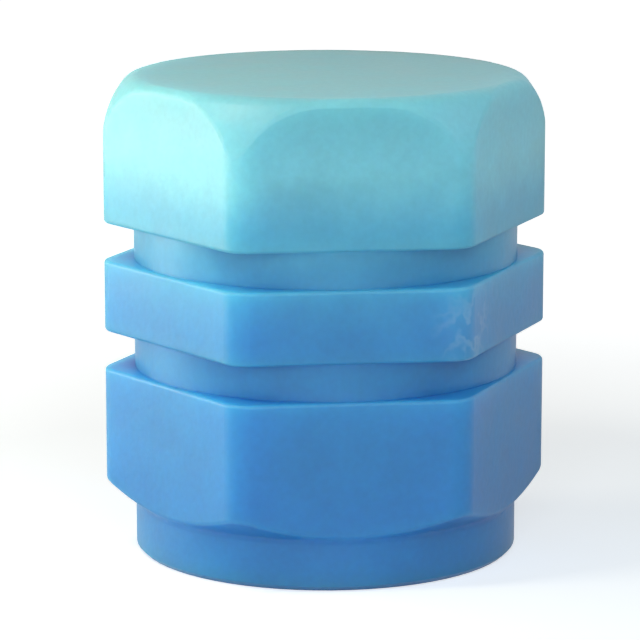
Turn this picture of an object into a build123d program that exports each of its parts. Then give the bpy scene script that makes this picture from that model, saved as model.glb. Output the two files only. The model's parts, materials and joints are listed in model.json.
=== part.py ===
from build123d import *
import os
from math import cos, hypot, radians, sqrt

# Protection cap for a tyre valve: one moulded piece, hexagonal outside, with a blind threaded bore below.
# Millimetres. +Z runs up the cap's axis to the closed top, and the origin is the centre of the open rim.
# Two flats of the hexagon face +Y and -Y, and two of its corners lie on the X axis.

# Bore, for the 0.305-32 thread of a tyre valve. Its wall stands at the thread's root.
valve_thread_diameter = 0.305 * 25.4
root_clearance = 0.03
entry_chamfer = 0.30
threaded_depth = 7.50

# Seat that stops the valve, and the recess behind it that clears the valve's pin.
seat_width = 1.60
pin_recess_depth = 2.30
pin_recess_chamfer = 0.60

# Outside, across the axis. The flats stand a little proud of the necks and the collar.
wall = 0.90
flat_step = 0.10
corner_fillet = 0.70
turning_margin = 0.02

# Outside, along the axis. The lower band takes the height that the rest leave.
height = 12.00
collar_height = 1.28
foot_chamfer_height = 0.52
groove_width = 0.93
middle_band_height = 1.80
top_band_height = 3.65
shoulder_drop = 1.70
shoulder_reach = 0.69

# Edges. The step of a flat limits the rounding of its ends.
band_edge_fillet = min(0.10, 0.85 * flat_step)
arch_fillet = 0.20
foot_fillet = 0.12
collar_blend = 0.25
top_edge_fillet = 0.45
rim_edge_chamfer = 0.12

bore_radius = valve_thread_diameter / 2 + root_clearance
neck_radius = bore_radius + wall
flat_radius = neck_radius + flat_step
corner_radius = (flat_radius - corner_fillet) / cos(radians(30)) + corner_fillet
turned_radius = corner_radius + turning_margin
top_flat_radius = turned_radius - shoulder_reach
pin_recess_radius = bore_radius - seat_width

top_band_bottom = height - top_band_height
middle_band_top = top_band_bottom - groove_width
middle_band_bottom = middle_band_top - middle_band_height
lower_band_top = middle_band_bottom - groove_width

# How near to level or upright a direction counts as being so.
direction_tolerance = 1e-6


def corner_at(half_section, radius, level):
    """The corner of a half section that is nearest to a distance from the axis and a height."""
    return half_section.vertices().sort_by_distance((radius, 0, level))[0]


def turned_outside():
    """Turned body round the axis: collar, chamfered foot, two grooves and a rounded shoulder."""
    chamfer_slope = foot_chamfer_height / (corner_radius - neck_radius)
    chamfer_top = collar_height + chamfer_slope * (turned_radius - neck_radius)
    shoulder_start = height - shoulder_drop
    shoulder_radius = (shoulder_drop**2 + shoulder_reach**2) / (2 * shoulder_reach)
    halfway_reach = shoulder_radius - sqrt(shoulder_radius**2 - (shoulder_drop / 2) ** 2)
    lines = Polyline(
        (top_flat_radius, height),
        (0, height),
        (0, 0),
        (neck_radius, 0),
        (neck_radius, collar_height),
        (turned_radius, chamfer_top),
        (turned_radius, lower_band_top),
        (neck_radius, lower_band_top),
        (neck_radius, middle_band_bottom),
        (turned_radius, middle_band_bottom),
        (turned_radius, middle_band_top),
        (neck_radius, middle_band_top),
        (neck_radius, top_band_bottom),
        (turned_radius, top_band_bottom),
        (turned_radius, shoulder_start),
    )
    shoulder = ThreePointArc(
        (turned_radius, shoulder_start),
        (turned_radius - halfway_reach, shoulder_start + shoulder_drop / 2),
        (top_flat_radius, height),
    )
    half_section = Plane.XZ * make_face(lines + shoulder)
    half_section = chamfer(corner_at(half_section, neck_radius, 0), rim_edge_chamfer)
    half_section = fillet(corner_at(half_section, neck_radius, collar_height), collar_blend)
    half_section = fillet(corner_at(half_section, top_flat_radius, height), top_edge_fillet)
    return revolve(half_section, Axis.Z)


def hexagonal_bar():
    """Upright bar with rounded corners, as tall as the cap."""
    section = RegularPolygon(flat_radius, 6, major_radius=False)
    return extrude(fillet(section.vertices(), corner_fillet), height)


def cavity():
    """Room inside the cap: chamfered mouth, bore, flat seat and pin recess."""
    recess_end = threaded_depth + pin_recess_depth
    outline = Polyline(
        (0, 0),
        (bore_radius + entry_chamfer, 0),
        (bore_radius, entry_chamfer),
        (bore_radius, threaded_depth),
        (pin_recess_radius, threaded_depth),
        (pin_recess_radius, recess_end - pin_recess_chamfer),
        (pin_recess_radius - pin_recess_chamfer, recess_end),
        (0, recess_end),
        (0, 0),
    )
    return revolve(Plane.XZ * make_face(outline), Axis.Z)


def is_side(face):
    """Whether a face is one of the bar's flats or rounded corners."""
    centre = face.center()
    level_normal = abs(face.normal_at().Z) < direction_tolerance
    return level_normal and hypot(centre.X, centre.Y) > neck_radius + flat_step / 2


def soften_sides(cap, lowest, highest, radius):
    """Rounds the edges between two heights where the bar's sides end at a turned surface."""
    side_edges = [edge for face in cap.faces() if is_side(face) for edge in face.edges()]
    ends = [edge for edge in side_edges if abs((edge % 0.5).Z) < 1 - direction_tolerance]
    return fillet([edge for edge in ends if lowest < edge.center().Z < highest], radius)


def protection_cap():
    """The whole cap."""
    middle_of_lower_band = (collar_height + lower_band_top) / 2
    middle_of_top_band = (top_band_bottom + height) / 2
    cap = turned_outside() & hexagonal_bar()
    cap = soften_sides(cap, middle_of_top_band, height, arch_fillet)
    cap = soften_sides(cap, 0, middle_of_lower_band, foot_fillet)
    cap = soften_sides(cap, middle_of_lower_band, middle_of_top_band, band_edge_fillet)
    return cap - cavity()


os.makedirs("parts", exist_ok=True)
export_step(protection_cap(), "parts/cap.step")
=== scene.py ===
import json
from math import cos, pi, radians, sin, tau

import bmesh
import bpy
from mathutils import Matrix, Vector

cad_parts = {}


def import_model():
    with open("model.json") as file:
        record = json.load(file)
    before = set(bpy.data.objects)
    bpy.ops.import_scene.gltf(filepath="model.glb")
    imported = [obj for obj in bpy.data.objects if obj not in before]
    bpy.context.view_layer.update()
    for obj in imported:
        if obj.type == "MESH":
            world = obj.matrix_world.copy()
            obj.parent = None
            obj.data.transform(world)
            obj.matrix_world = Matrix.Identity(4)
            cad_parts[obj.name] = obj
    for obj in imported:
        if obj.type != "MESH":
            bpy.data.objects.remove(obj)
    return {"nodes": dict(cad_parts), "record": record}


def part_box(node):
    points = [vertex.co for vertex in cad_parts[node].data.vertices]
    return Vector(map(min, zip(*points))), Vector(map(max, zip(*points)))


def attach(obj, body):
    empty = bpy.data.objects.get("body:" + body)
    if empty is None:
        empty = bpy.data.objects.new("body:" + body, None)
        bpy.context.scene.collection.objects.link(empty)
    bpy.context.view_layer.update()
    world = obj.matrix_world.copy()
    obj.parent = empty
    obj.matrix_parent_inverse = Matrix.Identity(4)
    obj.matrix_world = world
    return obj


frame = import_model()

# Tyre valve dust cap, in metres. The CAD node is shown as it is. This script adds its finish,
# the thread in its bore and the studio.
MM = 0.001
CAP = "cap"
LOW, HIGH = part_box(CAP)
HEIGHT = HIGH.z - LOW.z


def add_object(name, data):
    """A new object with that data, linked to the scene."""
    made = bpy.data.objects.new(name, data)
    bpy.context.scene.collection.objects.link(made)
    return made


def mesh_object(name, mesh):
    """A new object from a bmesh, which is freed."""
    data = bpy.data.meshes.new(name)
    mesh.to_mesh(data)
    mesh.free()
    return add_object(name, data)


class Nodes:
    """A material's or world's node tree, emptied, with short ways to add nodes."""

    def __init__(self, owner):
        owner.use_nodes = True
        self.tree = owner.node_tree
        self.tree.nodes.clear()

    def add(self, kind, inputs=None, **settings):
        """A new node. An input takes another node's output, or a value of its own."""
        node = self.tree.nodes.new(kind)
        for name, value in settings.items():
            setattr(node, name, value)
        for name, value in (inputs or {}).items():
            if isinstance(value, bpy.types.NodeSocket):
                self.tree.links.new(value, node.inputs[name])
            else:
                node.inputs[name].default_value = value
        return node

    def math(self, operation, *values):
        node = self.add("ShaderNodeMath", dict(enumerate(values)), operation=operation)
        return node.outputs["Value"]

    def remap(self, source, before, after, interpolation="LINEAR"):
        """The source's value, with the first range stretched onto the second and clamped to it."""
        inputs = {
            "Value": source,
            "From Min": before[0],
            "From Max": before[1],
            "To Min": after[0],
            "To Max": after[1],
        }
        node = self.add("ShaderNodeMapRange", inputs, interpolation_type=interpolation)
        return node.outputs["Result"]


# --- Plastic -------------------------------------------------------------------------------

# Colour from the rim (0) to the top (1), linear, and how far the clouding shifts it in height,
# as a share of the cap's. The ramp is the plastic's own turquoise to blue, except the top stop,
# whose darkening is painted shade on the upward top face.
SHADES = (
    (0.00, (0.020, 0.245, 0.600)),
    (0.50, (0.028, 0.295, 0.620)),
    (0.64, (0.055, 0.375, 0.630)),
    (0.72, (0.095, 0.465, 0.645)),
    (0.86, (0.230, 0.640, 0.700)),
    # Darker than the stop below it: painted shade on the cap's top face.
    (1.00, (0.180, 0.520, 0.560)),
)
SHADE_DRIFT = 0.012

# Soft clouding and fine moulding grain: the size of their marks, and what each does to the
# colour's brightness, the roughness and the surface.
CLOUD_SIZE = 1.3 * MM
CLOUD_DETAIL = 3
CLOUD_BRIGHTNESS = (0.95, 1.05)
CLOUD_ROUGHNESS = (0.42, 0.50)
CLOUD_BUMP_STRENGTH = 0.5
CLOUD_BUMP_DEPTH = 0.04 * MM
GRAIN_SIZE = 0.16 * MM
GRAIN_DETAIL = 2
GRAIN_BRIGHTNESS = (0.97, 1.03)
GRAIN_BUMP_STRENGTH = 0.35
GRAIN_BUMP_DEPTH = 0.012 * MM

# The range that most of a noise's values lie in, and its middle.
NOISE_RANGE = (0.3, 0.7)
NOISE_MIDDLE = 0.5

# Pale scuff on the middle band's lower corner, right of the front flat. It is full within the
# first distance and gone by the second, and stronger along the lines of a noise's middle value.
SCUFF_PLACE = Vector((3.0, -4.6, 6.45)) * MM
SCUFF_DISTANCES = (0.2 * MM, 1.3 * MM)
SCUFF_SHADE = (0.42, 0.62, 0.76, 1.0)
SCUFF_LINE_SIZE = 0.6 * MM
SCUFF_LINE_DETAIL = 2
SCUFF_LINE_WIDTH = 0.09
SCUFF_ON_LINE = 0.40
SCUFF_OFF_LINE = 0.10

# How the plastic takes light. The radius is for red, green and blue, as multiples of the scale.
PLASTIC_IOR = 1.45
SUBSURFACE_RADIUS = (1.4, 2.0, 2.6)
SUBSURFACE_SCALE = 1.0 * MM


def noise(nodes, place, size, detail):
    """Noise with marks of about that size."""
    inputs = {"Vector": place, "Scale": 1 / size, "Detail": detail}
    return nodes.add("ShaderNodeTexNoise", inputs).outputs["Fac"]


def spread(nodes, source, after):
    """Noise stretched onto that range."""
    return nodes.remap(source, NOISE_RANGE, after)


def height_shade(nodes, place, cloud):
    """The colour by height, with painted shade darkening the top face. The clouding keeps its
    changes from being level lines.
    """
    split = nodes.add("ShaderNodeSeparateXYZ", {"Vector": place})
    level = nodes.remap(split.outputs["Z"], (LOW.z, HIGH.z), (0.0, 1.0))
    drift = spread(nodes, cloud, (-SHADE_DRIFT, SHADE_DRIFT))
    shade = nodes.add("ShaderNodeValToRGB", {"Fac": nodes.math("ADD", level, drift)})
    shade.color_ramp.interpolation = "EASE"
    stops = shade.color_ramp.elements
    while len(stops) < len(SHADES):
        stops.new(0.5)
    for stop, (position, colour) in zip(stops, SHADES):
        stop.position = position
        stop.color = (*colour, 1.0)
    return shade.outputs["Color"]


def mottled(nodes, colour, cloud, grain):
    """That colour, a little lighter and darker in clouds and specks."""
    clouds = spread(nodes, cloud, CLOUD_BRIGHTNESS)
    specks = spread(nodes, grain, GRAIN_BRIGHTNESS)
    inputs = {"Color": colour, "Value": nodes.math("MULTIPLY", clouds, specks)}
    return nodes.add("ShaderNodeHueSaturation", inputs).outputs["Color"]


def scuffed(nodes, colour, place):
    """That colour with the scuff over it."""
    reach = nodes.add("ShaderNodeVectorMath", {0: place, 1: SCUFF_PLACE}, operation="DISTANCE")
    patch = nodes.remap(reach.outputs["Value"], SCUFF_DISTANCES, (1.0, 0.0), "SMOOTHSTEP")
    contours = noise(nodes, place, SCUFF_LINE_SIZE, SCUFF_LINE_DETAIL)
    off_line = nodes.math("ABSOLUTE", nodes.math("SUBTRACT", contours, NOISE_MIDDLE))
    strengths = (SCUFF_ON_LINE, SCUFF_OFF_LINE)
    lines = nodes.remap(off_line, (0.0, SCUFF_LINE_WIDTH), strengths, "SMOOTHSTEP")
    inputs = {"Factor": nodes.math("MULTIPLY", patch, lines), "A": colour, "B": SCUFF_SHADE}
    return nodes.add("ShaderNodeMix", inputs, data_type="RGBA").outputs["Result"]


def bumped(nodes, cloud, grain):
    """Normals of a surface with shallow waves and fine pores."""
    inputs = {"Height": cloud, "Strength": CLOUD_BUMP_STRENGTH, "Distance": CLOUD_BUMP_DEPTH}
    waves = nodes.add("ShaderNodeBump", inputs)
    inputs = {"Height": grain, "Strength": GRAIN_BUMP_STRENGTH, "Distance": GRAIN_BUMP_DEPTH}
    inputs["Normal"] = waves.outputs["Normal"]
    return nodes.add("ShaderNodeBump", inputs).outputs["Normal"]


def plastic():
    """Satin translucent plastic, turquoise at the closed end and blue towards the rim."""
    material = bpy.data.materials.new("cap_plastic")
    nodes = Nodes(material)
    place = nodes.add("ShaderNodeTexCoord").outputs["Object"]
    cloud = noise(nodes, place, CLOUD_SIZE, CLOUD_DETAIL)
    grain = noise(nodes, place, GRAIN_SIZE, GRAIN_DETAIL)
    colour = mottled(nodes, height_shade(nodes, place, cloud), cloud, grain)
    inputs = {
        "Base Color": scuffed(nodes, colour, place),
        "Roughness": spread(nodes, cloud, CLOUD_ROUGHNESS),
        "Normal": bumped(nodes, cloud, grain),
        "IOR": PLASTIC_IOR,
        "Subsurface Weight": 1.0,
        "Subsurface Radius": SUBSURFACE_RADIUS,
        "Subsurface Scale": SUBSURFACE_SCALE,
    }
    shader = nodes.add("ShaderNodeBsdfPrincipled", inputs)
    nodes.add("ShaderNodeOutputMaterial", {"Surface": shader.outputs["BSDF"]})
    return material


# --- Thread --------------------------------------------------------------------------------

# In the bore: 0.305-32, right-handed. The bore's wall is the thread's root.
THREAD = next(mount for mount in frame["record"]["mounts"] if mount["name"] == "valve_thread")
BORE_RADIUS = THREAD["dims"]["r_mm"] * MM
BORE_LENGTH = THREAD["dims"]["length_mm"] * MM
BORE_MIDDLE = THREAD["pos_m"][2]
THREAD_PITCH = 25.4 * MM / 32
THREAD_DEPTH = 0.46 * MM

# The ridge's section: along the bore in pitches, and in from the wall in thread depths.
# Its foot is sunk into the wall.
ROOT_SINK = 0.05 * MM
RIDGE_SECTION = (
    (-0.42, -ROOT_SINK / THREAD_DEPTH),
    (-0.40, 0.0),
    (-0.10, 0.92),
    (0.0, 1.0),
    (0.10, 0.92),
    (0.40, 0.0),
    (0.42, -ROOT_SINK / THREAD_DEPTH),
)

# The ridge leaves this many pitches of the bore bare, half at each end. It tapers there over
# about the turns given, to that share of its depth and close to that share of its width.
BARE_PITCHES = 1.5
END_DEPTH = 0.05
END_WIDTH = 0.4
TAPER_TURNS = 0.5
STEPS_A_TURN = 64


def ridge_ring(mesh, start, turn, fullness):
    """The ridge's section at that turn, lower and narrower where it isn't full."""
    angle = tau * turn
    width = END_WIDTH + (1 - END_WIDTH) * fullness
    ring = []
    for along, depth in RIDGE_SECTION:
        inset = depth * THREAD_DEPTH * (fullness if depth > 0 else 1.0)
        radius = BORE_RADIUS - inset
        level = start + THREAD_PITCH * (turn + along * width)
        ring.append(mesh.verts.new((radius * cos(angle), radius * sin(angle), level)))
    return ring


def thread_ridge():
    """Helical ridge on the bore's wall, with tapered ends, as one closed mesh."""
    turns = (BORE_LENGTH - BARE_PITCHES * THREAD_PITCH) / THREAD_PITCH
    count = int(turns * STEPS_A_TURN)
    start = BORE_MIDDLE - turns * THREAD_PITCH / 2
    mesh = bmesh.new()
    rings = []
    for step in range(count + 1):
        grown = min(step, count - step) / (STEPS_A_TURN * TAPER_TURNS)
        fullness = min(1.0, END_DEPTH + grown)
        rings.append(ridge_ring(mesh, start, step / STEPS_A_TURN, fullness))
    size = len(RIDGE_SECTION)
    for near, far in zip(rings, rings[1:]):
        for i in range(size):
            j = (i + 1) % size
            mesh.faces.new((near[i], near[j], far[j], far[i]))
    mesh.faces.new(rings[0])
    mesh.faces.new(list(reversed(rings[-1])))
    bmesh.ops.recalc_face_normals(mesh, faces=mesh.faces)
    made = mesh_object("cap_thread", mesh)
    for face in made.data.polygons:
        face.use_smooth = True
    return made


# --- Studio --------------------------------------------------------------------------------

CAMERA_AZIMUTH = -7.2
CAMERA_ELEVATION = 11.4
CAMERA_DISTANCE = 88.0 * MM
CAMERA_LENS = 196.5
CAMERA_NEAR = 1 * MM
CAMERA_AIM = Vector((-0.14, 0.0, 5.74)) * MM

PURE = (1.0, 1.0, 1.0)
WARM = (1.0, 0.97, 0.84)
COOL = (0.70, 0.88, 1.0)
CAP_MIDDLE = Vector((0, 0, HEIGHT / 2))

# The floor's grey takes the shadow. Its glow makes it white, less so near the cap.
FLOOR_RADIUS = 1.5
FLOOR_SIDES = 96
FLOOR_GAP = 0.01 * MM
FLOOR_GREY = (0.6, 0.6, 0.6, 1.0)
GLOW_DISTANCES = (1.2 * HEIGHT, 3.2 * HEIGHT)
GLOW_LEVELS = (0.62, 1.0)

# The light that the world gives from all sides, and what shows of it.
FILL_LEVEL = 0.06
BACKGROUND = (1.0, 1.0, 1.0, 1.0)


def direction(azimuth, elevation):
    """Unit vector towards a place seen from the cap. Azimuth 0 is -Y, and it grows towards +X."""
    turn, rise = radians(azimuth), radians(elevation)
    return Vector((sin(turn) * cos(rise), -cos(turn) * cos(rise), sin(rise)))


def look_from(thing, aim, towards, distance):
    """Places a camera or lamp at a distance from its aim, turned to it."""
    thing.location = aim + towards * distance
    thing.rotation_euler = towards.to_track_quat("Z", "Y").to_euler()


def camera():
    """Camera at the photograph's viewing angle."""
    data = bpy.data.cameras.new("camera")
    data.lens = CAMERA_LENS
    data.clip_start = CAMERA_NEAR
    made = add_object("camera", data)
    towards = direction(CAMERA_AZIMUTH, CAMERA_ELEVATION)
    look_from(made, CAMERA_AIM, towards, CAMERA_DISTANCE)
    bpy.context.scene.camera = made


def soft_box(name, azimuth, elevation, size, level, colour, distance):
    """Square lamp aimed at the cap's middle. Its azimuth is from the camera's.

    At level 1, a white surface that faces it there renders as white.
    """
    data = bpy.data.lights.new(name, "AREA")
    data.shape = "SQUARE"
    data.size = size
    data.energy = level * pi**2 * distance**2
    data.color = colour
    made = add_object(name, data)
    made.visible_camera = False
    look_from(made, CAP_MIDDLE, direction(azimuth + CAMERA_AZIMUTH, elevation), distance)


def lights():
    """A broad front light, three lamps that brighten the left, and a fill from the right."""
    soft_box("rim", -100, 7, 24 * MM, 0.64, WARM, 55 * MM)
    soft_box("side", -40, 14, 26 * MM, 0.13, PURE, 50 * MM)
    soft_box("upper", -58, 53, 9 * MM, 0.42, WARM, 30 * MM)
    soft_box("front", 2, 20, 90 * MM, 0.49, COOL, 150 * MM)
    soft_box("fill", 68, 40, 11 * MM, 0.21, COOL, 23 * MM)


def background_rays(nodes):
    """1 for the rays that show the background: the camera's, and those mirrored or let through."""
    ray = nodes.add("ShaderNodeLightPath").outputs
    mirrored = nodes.math("MAXIMUM", ray["Is Glossy Ray"], ray["Is Transmission Ray"])
    return nodes.math("MAXIMUM", ray["Is Camera Ray"], mirrored)


def floor_white():
    """Diffuse grey that takes the shadow, plus a glow that only the background's rays see."""
    material = bpy.data.materials.new("floor_white")
    nodes = Nodes(material)
    place = nodes.add("ShaderNodeTexCoord").outputs["Object"]
    reach = nodes.add("ShaderNodeVectorMath", {0: place}, operation="LENGTH")
    level = nodes.remap(reach.outputs["Value"], GLOW_DISTANCES, GLOW_LEVELS)
    strength = nodes.math("MULTIPLY", background_rays(nodes), level)
    grey = nodes.add("ShaderNodeBsdfDiffuse", {"Color": FLOOR_GREY})
    glow = nodes.add("ShaderNodeEmission", {"Strength": strength})
    both = nodes.add("ShaderNodeAddShader", {0: grey.outputs[0], 1: glow.outputs[0]})
    nodes.add("ShaderNodeOutputMaterial", {"Surface": both.outputs[0]})
    return material


def floor():
    """Pale floor that shows as white and keeps the cap's shadow."""
    mesh = bmesh.new()
    bmesh.ops.create_circle(mesh, cap_ends=True, radius=FLOOR_RADIUS, segments=FLOOR_SIDES)
    made = mesh_object("floor", mesh)
    made.location.z = LOW.z - FLOOR_GAP
    made.data.materials.append(floor_white())


def world():
    """Dim even fill that shows as white."""
    made = bpy.data.worlds.new("world")
    nodes = Nodes(made)
    fill = nodes.add("ShaderNodeBackground", {"Color": (*COOL, 1), "Strength": FILL_LEVEL})
    white = nodes.add("ShaderNodeBackground", {"Color": BACKGROUND})
    inputs = {"Fac": background_rays(nodes), 1: fill.outputs[0], 2: white.outputs[0]}
    mix = nodes.add("ShaderNodeMixShader", inputs)
    nodes.add("ShaderNodeOutputWorld", {"Surface": mix.outputs[0]})
    bpy.context.scene.world = made


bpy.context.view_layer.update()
finish = plastic()
cap = frame["nodes"][CAP]
cap.data.materials.clear()
cap.data.materials.append(finish)
thread = thread_ridge()
thread.data.materials.append(finish)
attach(thread, "root")
camera()
lights()
floor()
world()
bpy.context.scene.view_settings.view_transform = "Standard"
